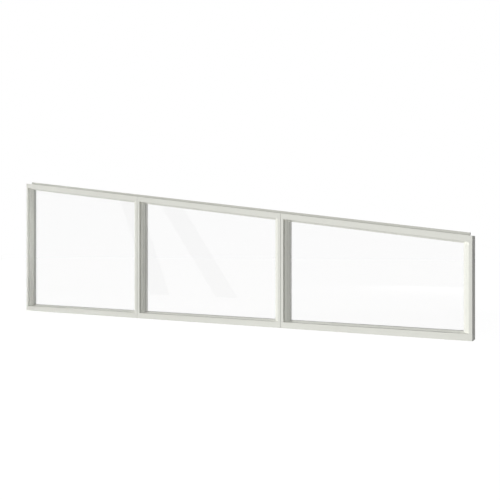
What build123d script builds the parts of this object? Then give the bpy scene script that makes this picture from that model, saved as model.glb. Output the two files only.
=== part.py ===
from build123d import *
import math
import os

# Raked window: three fixed, glazed units side by side under one head that slopes down to the right.
# The origin is the centre of the sills' underside, +X runs along the sills to the low end,
# +Y runs through the window from its front face to its rear face, and +Z is up.

# Overall sizes
unit_width = 1200.0
coupling_gap = 2.0
tall_side = 1074.0
short_side = 592.0
frame_depth = 90.0

# Frame section: an outer wall over the whole depth, with the glazing rebate on its inner side.
# Widths run inwards from a unit's outer edge, depths back from the front edge of the wall.
# Sill and head have a flat front face. The jambs' face starts behind the front of their wall and
# slopes back from there to the glazing.
# The head is slimmer than the sill and jambs by head_slimness.
outer_wall_width = 20.0
jamb_face_setback = 18.0
jamb_face_splay = 4.0
face_width = 40.0
face_thickness = 3.0
sightline = 52.0
rebate_floor = 33.0
rear_leg = 3.5
wall_thickness = 2.0
edge_radius = 0.8
head_slimness = 0.9

# Glazing, from the front to the rear
bead_depth = 9.0
bead_nose = 3.0
front_gasket_thickness = 3.0
glass_thickness = 4.0
glass_cavity = 10.0
rear_gasket_thickness = 2.0
gasket_height = 8.0
gasket_below_sightline = 1.0
glass_edge_clearance = 4.0
spacer_inset = 3.0
spacer_height = 11.0

# Sub-head channel that stands on the three heads, and the strips between the units
sub_head_height = 16.5
sub_head_setback = 38.0
sub_head_depth = 20.0
sub_head_end_inset = 20.0
coupler_recess = 3.0

unit_names = ["left", "middle", "right"]
side_names = ["sill", "left_jamb", "head", "right_jamb"]
unit_count = len(unit_names)

overall_width = unit_count * unit_width + (unit_count - 1) * coupling_gap
left_end = -overall_width / 2
fall = (tall_side - short_side) / overall_width
slope_length = math.sqrt(1 + fall**2)
front = Vector(0, -frame_depth / 2, 0)
backwards = Vector(0, 1, 0)

jamb_face_back = jamb_face_setback + jamb_face_splay
bead_seat = jamb_face_back + face_thickness
bead_back = bead_seat + bead_depth
front_pane_front = bead_back + front_gasket_thickness
spacer_front = front_pane_front + glass_thickness
rear_pane_front = spacer_front + glass_cavity
rear_gasket_front = rear_pane_front + glass_thickness
rear_leg_front = rear_gasket_front + rear_gasket_thickness
rear_leg_back = rear_leg_front + rear_leg

glass_edge = rebate_floor + glass_edge_clearance
gasket_top = sightline - gasket_below_sightline
gasket_foot = gasket_top - gasket_height
spacer_foot = glass_edge + spacer_inset
spacer_top = spacer_foot + spacer_height

# Outlines as (inwards, depth) pairs
rebate_outline = [
    (face_width, bead_seat),
    (rebate_floor, bead_seat),
    (rebate_floor, rear_leg_front),
    (sightline, rear_leg_front),
    (sightline, rear_leg_back),
    (outer_wall_width, rear_leg_back),
    (outer_wall_width, frame_depth),
    (0, frame_depth),
    (0, 0),
]
rail_outline = [(face_width, 0)] + rebate_outline
jamb_outline = [
    (outer_wall_width, 0),
    (outer_wall_width, jamb_face_setback),
    (face_width, jamb_face_back),
] + rebate_outline
bead_outline = [
    (rebate_floor, bead_seat),
    (face_width, bead_seat),
    (sightline, bead_back - bead_nose),
    (sightline, bead_back),
    (rebate_floor, bead_back),
]


def head_height(x):
    # Height of the top of the heads above the sills' underside
    return short_side + (overall_width / 2 - x) * fall


def corners(x_left, x_right, inset):
    # A unit's outline moved inwards: low right, low left, upper left and upper right corner
    left, right = x_left + inset, x_right - inset
    drop = inset * head_slimness * slope_length
    return [
        Vector(right, 0, inset),
        Vector(left, 0, inset),
        Vector(left, 0, head_height(left) - drop),
        Vector(right, 0, head_height(right) - drop),
    ]


def side_run(x_left, x_right, side):
    # A side's start corner, end corner, direction and slimness
    outer = corners(x_left, x_right, 0)
    start, end = outer[side], outer[(side + 1) % len(outer)]
    slimness = head_slimness if side_names[side] == "head" else 1
    return start, end, (end - start).normalized(), slimness


def overlong_length(outline, x_left, x_right, side, hollow):
    # A side's section, extruded past both of its corners
    start, end, along, slimness = side_run(x_left, x_right, side)
    overrun = frame_depth
    section_plane = Plane(
        origin=start - along * overrun + front, x_dir=backwards.cross(along), z_dir=along
    )
    with BuildPart() as length:
        with BuildSketch(section_plane) as section:
            with BuildLine():
                Polyline(*[(inwards * slimness, depth) for inwards, depth in outline], close=True)
            make_face()
            if hollow:
                fillet(section.vertices(), radius=edge_radius)
                offset(amount=-wall_thickness, kind=Kind.INTERSECTION, mode=Mode.SUBTRACT)
        extrude(amount=(end - start).length + 2 * overrun)
    return length


def mitre_plane(outer_corner, inner_corner, along):
    # Upright plane through a mitre, which faces along the length that it cuts
    normal = (inner_corner - outer_corner).cross(backwards)
    if normal.dot(along) < 0:
        normal = -normal
    return Plane(origin=outer_corner, z_dir=normal)


def mitred_bead(x_left, x_right, side):
    # A glazing bead, mitred at both ends
    start, end, along, slimness = side_run(x_left, x_right, side)
    inner = corners(x_left, x_right, sightline)
    with BuildPart() as bead:
        add(overlong_length(bead_outline, x_left, x_right, side, True).part)
        split(bisect_by=mitre_plane(start, inner[side], along), keep=Keep.TOP)
        split(bisect_by=mitre_plane(end, inner[(side + 1) % len(inner)], along), keep=Keep.BOTTOM)
    return bead


def rail_stretch(x_left, x_right, side, hollow, x_from, x_to):
    # A unit's sill or head between two upright planes, open at its ends
    with BuildPart() as stretch:
        add(overlong_length(rail_outline, x_left, x_right, side, hollow).part)
        split(bisect_by=Plane(origin=(x_from, 0, 0), z_dir=(1, 0, 0)), keep=Keep.TOP)
        split(bisect_by=Plane(origin=(x_to, 0, 0), z_dir=(1, 0, 0)), keep=Keep.BOTTOM)
    return stretch


def rail(x_left, x_right, side):
    # A sill or head, over the whole width of its unit, with a plate across each end
    with BuildPart() as length:
        add(rail_stretch(x_left, x_right, side, True, x_left, x_right).part)
        for plate_left in [x_left, x_right - wall_thickness]:
            plate_right = plate_left + wall_thickness
            add(rail_stretch(x_left, x_right, side, False, plate_left, plate_right).part)
    return length


def jamb(x_left, x_right, side):
    # An upright, with both ends coped over the sill and the head
    _, low_left, high_left, high_right = corners(x_left, x_right, 0)
    head_top = Plane(origin=high_left, z_dir=backwards.cross(high_left - high_right))
    with BuildPart() as length:
        add(overlong_length(jamb_outline, x_left, x_right, side, True).part)
        split(bisect_by=Plane(origin=low_left, z_dir=(0, 0, 1)), keep=Keep.TOP)
        split(bisect_by=head_top, keep=Keep.BOTTOM)
        for rail_name in ["sill", "head"]:
            # Its filled outline first, then the rounding of its inner corners
            for hollow in [False, True]:
                rail_side = side_names.index(rail_name)
                other = rail_stretch(x_left, x_right, rail_side, hollow, x_left, x_right)
                add(other.part, mode=Mode.SUBTRACT)
    return length


def elevation(depth):
    # Upright plane at a depth behind the front face, with x to the right and y up
    return Plane(origin=front + backwards * depth, x_dir=(1, 0, 0), z_dir=-backwards)


def inset_outline(x_left, x_right, inset):
    return [(corner.X, corner.Z) for corner in corners(x_left, x_right, inset)]


def pane(x_left, x_right, depth):
    with BuildPart() as sheet:
        with BuildSketch(elevation(depth)):
            with BuildLine():
                Polyline(*inset_outline(x_left, x_right, glass_edge), close=True)
            make_face()
        extrude(amount=-glass_thickness)
    return sheet


def ring(x_left, x_right, foot, top, depth, thickness):
    # A flat ring that follows the unit's outline, from its foot in the frame to its top
    with BuildPart() as loop:
        with BuildSketch(elevation(depth)):
            with BuildLine():
                Polyline(*inset_outline(x_left, x_right, foot), close=True)
            make_face()
            with BuildLine():
                Polyline(*inset_outline(x_left, x_right, top), close=True)
            make_face(mode=Mode.SUBTRACT)
        extrude(amount=-thickness)
    return loop


def sub_head_channel():
    # A channel, open below, along the slope, with its ends cut square and closed
    x_start = left_end + sub_head_end_inset
    foot = Vector(x_start, 0, head_height(x_start)) + front + backwards * sub_head_setback
    length = (overall_width - 2 * sub_head_end_inset) * slope_length
    corner = (Align.MIN, Align.MIN, Align.MIN)
    with BuildPart(Plane(origin=foot, x_dir=backwards, z_dir=(1, 0, -fall))) as channel:
        Box(sub_head_depth, sub_head_height, length, align=corner)
        with Locations((wall_thickness, 0, wall_thickness)):
            Box(
                sub_head_depth - 2 * wall_thickness,
                sub_head_height - wall_thickness,
                length - 2 * wall_thickness,
                align=corner,
                mode=Mode.SUBTRACT,
            )
    return channel


def coupling_strip(x_left):
    # Fills the gap between two units, a little short of their outer faces
    x_right = x_left + coupling_gap
    with BuildPart() as strip:
        with BuildSketch(elevation(coupler_recess)):
            with BuildLine():
                Polyline(
                    (x_left, coupler_recess),
                    (x_right, coupler_recess),
                    (x_right, head_height(x_right) - coupler_recess),
                    (x_left, head_height(x_left) - coupler_recess),
                    close=True,
                )
            make_face()
        extrude(amount=2 * coupler_recess - frame_depth)
    return strip


def save(piece, name):
    piece.part.label = name
    export_step(piece.part, "parts/" + name + ".step")
    print(name, round(piece.part.volume))


os.makedirs("parts", exist_ok=True)

for number, unit in enumerate(unit_names):
    x_left = left_end + number * (unit_width + coupling_gap)
    x_right = x_left + unit_width
    for side, side_name in enumerate(side_names):
        name = unit + "_unit_" + side_name
        make_length = jamb if "jamb" in side_name else rail
        save(make_length(x_left, x_right, side), name)
        save(mitred_bead(x_left, x_right, side), name + "_bead")
    save(pane(x_left, x_right, front_pane_front), unit + "_unit_front_pane")
    save(pane(x_left, x_right, rear_pane_front), unit + "_unit_rear_pane")
    rings = {
        "front_gasket": (gasket_foot, gasket_top, bead_back, front_gasket_thickness),
        "spacer": (spacer_foot, spacer_top, spacer_front, glass_cavity),
        "rear_gasket": (gasket_foot, gasket_top, rear_gasket_front, rear_gasket_thickness),
    }
    for ring_name, sizes in rings.items():
        save(ring(x_left, x_right, *sizes), unit + "_unit_" + ring_name)
    if number < unit_count - 1:
        save(coupling_strip(x_right), unit + "_coupling_strip")

save(sub_head_channel(), "sub_head")
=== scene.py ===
import math

import bpy
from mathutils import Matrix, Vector

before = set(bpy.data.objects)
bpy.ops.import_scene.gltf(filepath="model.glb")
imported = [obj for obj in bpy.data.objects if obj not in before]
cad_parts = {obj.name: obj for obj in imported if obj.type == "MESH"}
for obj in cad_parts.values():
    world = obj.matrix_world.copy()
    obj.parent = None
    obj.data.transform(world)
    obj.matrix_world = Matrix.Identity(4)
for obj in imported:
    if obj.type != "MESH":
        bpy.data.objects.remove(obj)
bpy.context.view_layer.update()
print("frame loaded:", len(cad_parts), "nodes")

units = ["left", "middle", "right"]
lengths = ["sill", "left_jamb", "head", "right_jamb"]
scene = bpy.context.scene


def linear(hexColour):
    # sRGB hex to linear RGBA
    parts = [int(hexColour[i:i + 2], 16) / 255 for i in (1, 3, 5)]
    return [c / 12.92 if c <= 0.04045 else ((c + 0.055) / 1.055) ** 2.4 for c in parts] + [1.0]


def addNode(tree, kind, settings=None, values=None, links=None):
    # A node with its settings, its sockets' values and what feeds them, by socket name or number
    node = tree.nodes.new(kind)
    for name, value in (settings or {}).items():
        setattr(node, name, value)
    for socket, value in (values or {}).items():
        node.inputs[socket].default_value = value
    for socket, source in (links or {}).items():
        tree.links.new(source, node.inputs[socket])
    return node


def newMaterial(name):
    # A material without nodes yet, and its node tree
    material = bpy.data.materials.new(name)
    material.use_nodes = True
    material.node_tree.nodes.clear()
    return material, material.node_tree


def finishSurface(tree, shader):
    addNode(tree, "ShaderNodeOutputMaterial", links={"Surface": shader})


def noise(tree, spacingMm, detail):
    # Noise in the object's own coordinates, which are in metres
    coordinates = addNode(tree, "ShaderNodeTexCoord")
    texture = addNode(tree, "ShaderNodeTexNoise",
                      values={"Scale": 1000 / spacingMm, "Detail": detail},
                      links={"Vector": coordinates.outputs["Object"]})
    return texture.outputs["Fac"]


def relief(tree, grain):
    # The surface direction over a fine grain
    bump = addNode(tree, "ShaderNodeBump",
                   values={"Strength": grain["strength"], "Distance": grain["depthMm"] / 1000},
                   links={"Height": noise(tree, grain["spacingMm"], grain["detail"])})
    return bump.outputs["Normal"]


# Powder coat: polyester powder sprayed on extruded aluminium and stoved. It gives the eye a satin
# paint with a faint orange peel and slow drifts in tone along a length.
powderCoat = {
    "frame": ("#E4E5DE", "#DEDED7"),        # lighter and darker tone of the drift
    "shadedRailBeads": ("#DADBD4", "#D4D4CD"),    # the beads of sills and heads: a darker copy of the frame coat, painted shade
    # the sub-head: a darker copy of the frame coat, painted shade on the set-back strip
    "shadedSubHead": ("#C8C9C2", "#C2C2BB"),
    "drift": {"spacingMm": 420.0, "detail": 2.0},
    # Real peel is about 1 mm; drawn coarser so that it shows
    "peel": {"spacingMm": 3.0, "detail": 3.0, "strength": 0.3, "depthMm": 0.02},
    "roughness": 0.55,
    "ior": 1.5,
}


def powderCoatMaterial(name, tones):
    material, tree = newMaterial(name)
    lighter, darker = tones
    tone = addNode(tree, "ShaderNodeMix", {"data_type": "RGBA"},
                   values={6: linear(darker), 7: linear(lighter)},      # the colour sockets A and B
                   links={"Factor": noise(tree, **powderCoat["drift"])})
    shader = addNode(tree, "ShaderNodeBsdfPrincipled",
                     values={"Roughness": powderCoat["roughness"], "IOR": powderCoat["ior"]},
                     links={"Base Color": tone.outputs[2], "Normal": relief(tree, powderCoat["peel"])})
    finishSurface(tree, shader.outputs["BSDF"])
    return material


# Float glass: poured flat on molten tin. It gives the eye a clear sheet, a mirror at grazing angles.
floatGlass = {"colour": "#FDFDFD", "roughness": 0.0, "ior": 1.52}


def floatGlassMaterial():
    material, tree = newMaterial("float_glass_clear")
    shader = addNode(tree, "ShaderNodeBsdfPrincipled",
                     values={"Base Color": linear(floatGlass["colour"]),
                             "Roughness": floatGlass["roughness"],
                             "IOR": floatGlass["ior"], "Transmission Weight": 1.0})
    finishSurface(tree, shader.outputs["BSDF"])
    return material


# Spacer: roll-formed mill aluminium. It gives the eye a dull grey bar with a fine uneven grain.
millAluminium = {
    "colour": "#D8D8D2",
    "roughness": 0.38,
    "grain": {"spacingMm": 10 / 9, "detail": 2.0, "strength": 0.15, "depthMm": 0.02},
}


def millAluminiumMaterial():
    material, tree = newMaterial("mill_aluminium_rolled")
    shader = addNode(tree, "ShaderNodeBsdfPrincipled",
                     values={"Base Color": linear(millAluminium["colour"]), "Metallic": 1.0,
                             "Roughness": millAluminium["roughness"]},
                     links={"Normal": relief(tree, millAluminium["grain"])})
    finishSurface(tree, shader.outputs["BSDF"])
    return material


# Rubber: extruded EPDM. The gaskets give the eye a matte grey line between the bead and the glass, the
# coupling strips a darker one between the units.
rubber = {
    "gasket": "#A9AAA5",
    "couplingStrip": "#6E706E",
    "grain": {"spacingMm": 0.8, "detail": 2.0, "strength": 0.2, "depthMm": 0.03},
    "roughness": 0.75,
    "ior": 1.5,
}


def rubberMaterial(name, colour):
    material, tree = newMaterial(name)
    shader = addNode(tree, "ShaderNodeBsdfPrincipled",
                     values={"Base Color": linear(colour), "Roughness": rubber["roughness"],
                             "IOR": rubber["ior"]},
                     links={"Normal": relief(tree, rubber["grain"])})
    finishSurface(tree, shader.outputs["BSDF"])
    return material


coat = powderCoatMaterial("powder_coat_sprayed", powderCoat["frame"])
# The sill and head beads: the same coat in a darker copy, which paints the shade they sit in
shadedRailBeadCoat = powderCoatMaterial("powder_coat_rail_beads_painted_shade", powderCoat["shadedRailBeads"])
# The sub-head's darker copy of the coat: painted shade
shadedSubHeadCoat = powderCoatMaterial("powder_coat_sub_head_painted_shade", powderCoat["shadedSubHead"])
glass = floatGlassMaterial()
spacerMetal = millAluminiumMaterial()
gasketRubber = rubberMaterial("epdm_rubber_extruded", rubber["gasket"])
couplingRubber = rubberMaterial("sealing_strip_extruded", rubber["couplingStrip"])
print("materials made")


def finishNode(name, material):
    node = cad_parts[name]
    node.data.materials.clear()
    node.data.materials.append(material)


for unit in units:
    for length in lengths:
        finishNode(f"{unit}_unit_{length}", coat)
        # Sill and head beads take the darker copy of the coat: painted shade
        finishNode(f"{unit}_unit_{length}_bead", coat if "jamb" in length else shadedRailBeadCoat)
    finishNode(f"{unit}_unit_front_pane", glass)
    finishNode(f"{unit}_unit_rear_pane", glass)
    finishNode(f"{unit}_unit_spacer", spacerMetal)
    finishNode(f"{unit}_unit_front_gasket", gasketRubber)
    finishNode(f"{unit}_unit_rear_gasket", gasketRubber)
# The sub-head takes the darker copy of the coat: painted shade
finishNode("sub_head", shadedSubHeadCoat)
for unit in units[:-1]:
    finishNode(f"{unit}_coupling_strip", couplingRubber)
print("materials assigned")

# Camera: level, to the right of the window's middle, 512 mm above the floor
view = {"place": (2.422, -3.675, 0.512), "turn": 29.46, "focalPx": 618.6, "imagePx": 500, "sensorMm": 36.0}
camera = bpy.data.cameras.new("camera")
camera.sensor_width = view["sensorMm"]
camera.lens = view["focalPx"] / view["imagePx"] * view["sensorMm"]
cameraObject = bpy.data.objects.new("camera", camera)
cameraObject.location = view["place"]
cameraObject.rotation_euler = (math.radians(90), 0, math.radians(view["turn"]))
scene.collection.objects.link(cameraObject)
scene.camera = cameraObject
print("camera placed")


def seenRays(tree):
    # 1 for rays that the camera sees straight, in a mirror or through glass
    path = addNode(tree, "ShaderNodeLightPath")
    seen = path.outputs["Is Camera Ray"]
    for ray in ["Is Glossy Ray", "Is Transmission Ray"]:
        either = addNode(tree, "ShaderNodeMath", {"operation": "MAXIMUM"},
                         links={0: seen, 1: path.outputs[ray]})
        seen = either.outputs[0]
    return seen


def addSheets(name, corners, material):
    # Flat sheets with four corners each
    mesh = bpy.data.meshes.new(name)
    mesh.from_pydata(corners, [], [range(first, first + 4) for first in range(0, len(corners), 4)])
    mesh.materials.append(material)
    sheets = bpy.data.objects.new(name, mesh)
    scene.collection.objects.link(sheets)
    return sheets


# Floor: a pale plain sheet. Seen rays get a white glow in part, so that it reads as white and still
# keeps the window's shadow; light bounces off its matte paint alone.
floorLook = {
    "size": 60.0,
    "colour": "#C6C6C4",
    "roughness": 0.9,
    "glow": 1.245,
    "glowShare": 0.75,
}
floorMaterial, floorTree = newMaterial("floor_matte")
paint = addNode(floorTree, "ShaderNodeBsdfPrincipled",
                values={"Base Color": linear(floorLook["colour"]), "Roughness": floorLook["roughness"],
                        "Specular IOR Level": 0.0})
glow = addNode(floorTree, "ShaderNodeEmission", values={"Strength": floorLook["glow"]})
share = addNode(floorTree, "ShaderNodeMath", {"operation": "MULTIPLY"},
                values={1: floorLook["glowShare"]}, links={0: seenRays(floorTree)})
floorMix = addNode(floorTree, "ShaderNodeMixShader",
                   links={0: share.outputs[0], 1: paint.outputs["BSDF"], 2: glow.outputs["Emission"]})
finishSurface(floorTree, floorMix.outputs["Shader"])
half = floorLook["size"] / 2
floorCorners = [(-half, -half, 0), (half, -half, 0), (half, half, 0), (-half, half, 0)]
floor = addSheets("floor", floorCorners, floorMaterial)

# Reflection card: two slanting grey sheets in front of the window. Only mirrored rays meet them, so
# they show as faint streaks in the panes.
card = {
    "tone": "#808080",
    "y": -2.0,
    "height": 1.1,
    "width": 0.28,
    "tops": [-2.55, -2.0],      # each sheet's left edge at its top
    "feet": [-2.1, -1.2],       # and at its foot
    "hiddenFrom": ["camera", "diffuse", "transmission", "shadow", "volume_scatter"],
}
cardCorners = []
for top, foot in zip(card["tops"], card["feet"]):
    cardCorners += [
        (top, card["y"], card["height"]),
        (top + card["width"], card["y"], card["height"]),
        (foot + card["width"], card["y"], 0),
        (foot, card["y"], 0),
    ]
cardMaterial, cardTree = newMaterial("card_matte")
cardGlow = addNode(cardTree, "ShaderNodeEmission", values={"Color": linear(card["tone"])})
finishSurface(cardTree, cardGlow.outputs["Emission"])
cardObject = addSheets("reflection_card", cardCorners, cardMaterial)
for ray in card["hiddenFrom"]:
    setattr(cardObject, f"visible_{ray}", False)
print("floor and card staged")

# World: plain white to seen rays, dim as a light
worldLook = {"colour": "#FFFFFF", "seen": 1.0, "light": 0.08}
world = bpy.data.worlds.new("studio")
world.use_nodes = True
worldTree = world.node_tree
worldTree.nodes.clear()
dim, bright = [
    addNode(worldTree, "ShaderNodeBackground",
            values={"Color": linear(worldLook["colour"]), "Strength": worldLook[use]})
    for use in ["light", "seen"]
]
worldMix = addNode(worldTree, "ShaderNodeMixShader",
                   links={0: seenRays(worldTree), 1: dim.outputs["Background"],
                          2: bright.outputs["Background"]})
addNode(worldTree, "ShaderNodeOutputWorld", links={"Surface": worldMix.outputs["Shader"]})
scene.world = world
print("world set")

# Lamps: a key from the left, a softbox in front, a narrow fill towards the left end, and one sun each
# for the back and the top. Suns shine along their aim from anywhere.
keyTurn, keyRise = math.radians(62), math.radians(6)    # to the left of the front, and above level
keyAim = (math.sin(keyTurn) * math.cos(keyRise), math.cos(keyTurn) * math.cos(keyRise), -math.sin(keyRise))
lamps = {
    "key": {"kind": "SUN", "place": (0, 0, 3), "aim": keyAim, "power": 2.8,
            "settings": {"angle": math.radians(10)}},
    "softbox": {"kind": "AREA", "place": (0.9, -5.0, 0.8), "aim": (-0.5, 5.0, -0.4), "power": 80,
                "settings": {"shape": "RECTANGLE", "size": 2.0, "size_y": 1.2}},
    "fill": {"kind": "AREA", "place": (3.2, -3.6, 0.8), "aim": (-5.6, 3.6, -0.2), "power": 1.6,
             "settings": {"shape": "RECTANGLE", "size": 0.8, "size_y": 0.8, "spread": math.radians(20)}},
    "back": {"kind": "SUN", "place": (0, 0, 3), "aim": (0.1, -1, -0.12), "power": 1.9,
             "settings": {"angle": math.radians(10)}},
    "top": {"kind": "SUN", "place": (0, 0, 3), "aim": (0, 0, -1), "power": 0.8,
            "settings": {"angle": math.radians(3)}},
}


def addLamp(name, look):
    # A lamp that panes and coat don't mirror and that doesn't show through the panes
    lamp = bpy.data.lights.new(name, look["kind"])
    lamp.energy = look["power"]
    for setting, value in look["settings"].items():
        setattr(lamp, setting, value)
    lampObject = bpy.data.objects.new(name, lamp)
    lampObject.location = look["place"]
    lampObject.rotation_euler = Vector(look["aim"]).to_track_quat("-Z", "Y").to_euler()
    lampObject.visible_glossy = False
    lampObject.visible_transmission = False
    scene.collection.objects.link(lampObject)


for name, look in lamps.items():
    addLamp(name, look)
print("lamps set")

scene.view_settings.view_transform = "Standard"
